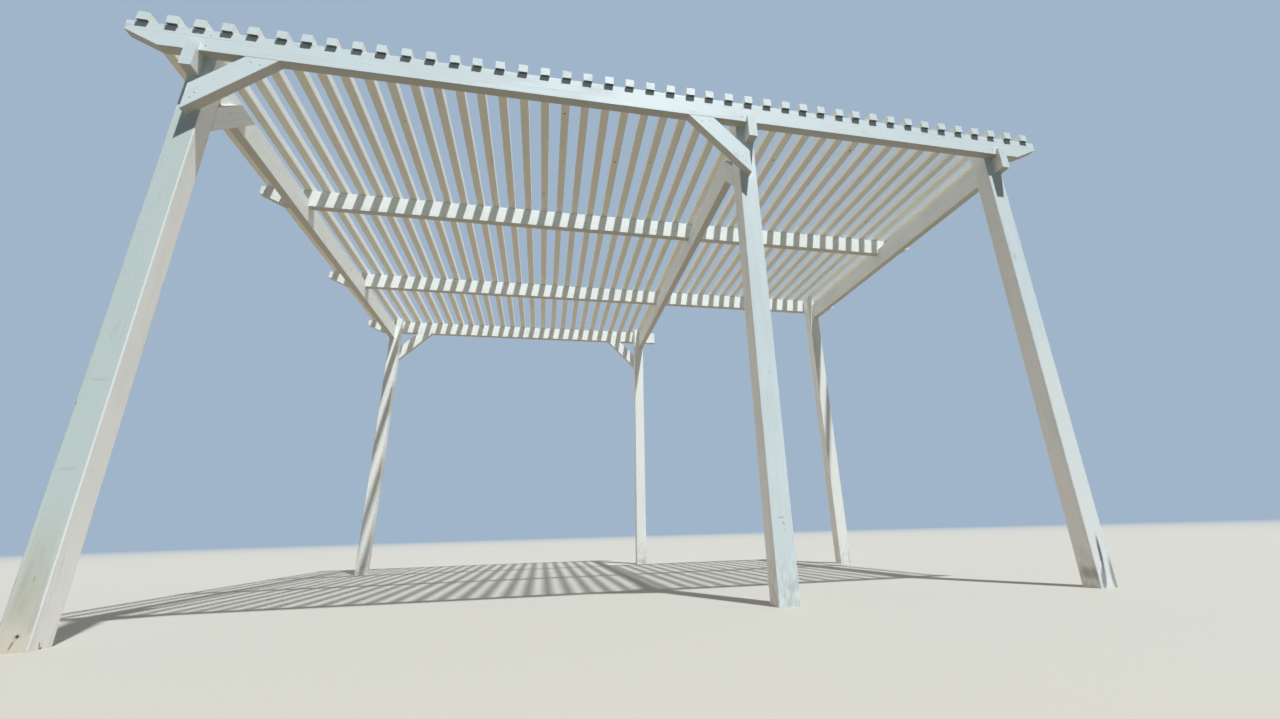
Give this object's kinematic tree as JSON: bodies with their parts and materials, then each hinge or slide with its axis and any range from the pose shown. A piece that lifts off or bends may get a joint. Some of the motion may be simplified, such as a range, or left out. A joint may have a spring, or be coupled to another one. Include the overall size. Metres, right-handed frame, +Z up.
{
  "type": "pergola",
  "caption": "Free-standing white-painted timber pergola with a stepped plan: square posts, braced bearers, notched cross beams with splayed ends and flat battens on top.",
  "frame": {"origin": "on the ground, under the middle of the whole outline", "axes": "+X to the right along the front beam, +Y from the front to the back, +Z up"},
  "size_m": [4.499, 3.502, 2.407],
  "materials": {
    "post_timber": "weathered white acrylic paint on dressed pine",
    "beam_timber": "white acrylic paint on dressed pine",
    "batten_timber": "white acrylic paint on dressed pine, dusty underneath"
  },
  "bodies": {
    "root": {"battens_01_to_03": "batten_timber", "battens_04_to_06": "batten_timber", "battens_07_to_09": "batten_timber", "battens_10_to_12": "batten_timber", "battens_13_to_15": "batten_timber", "battens_16_to_18": "batten_timber", "battens_19_to_21": "batten_timber", "battens_22_to_24": "batten_timber", "battens_25_to_27": "batten_timber", "battens_28_to_31": "batten_timber", "battens_32_to_35": "batten_timber", "battens_36_to_39": "batten_timber", "battens_40_to_43": "batten_timber", "bearer_left": "beam_timber", "bearer_middle": "beam_timber", "bearer_right": "beam_timber", "brace_back_left": "beam_timber", "brace_back_middle": "beam_timber", "brace_bearer_left": "beam_timber", "brace_bearer_middle": "beam_timber", "brace_front_left": "beam_timber", "brace_front_middle": "beam_timber", "cross_beam_back": "beam_timber", "cross_beam_front": "beam_timber", "cross_beam_second": "beam_timber", "cross_beam_third": "beam_timber", "post_back_left": "post_timber", "post_back_middle": "post_timber", "post_back_right": "post_timber", "post_front_left": "post_timber", "post_front_middle": "post_timber", "post_front_right": "post_timber"}
  },
  "joints": []
}
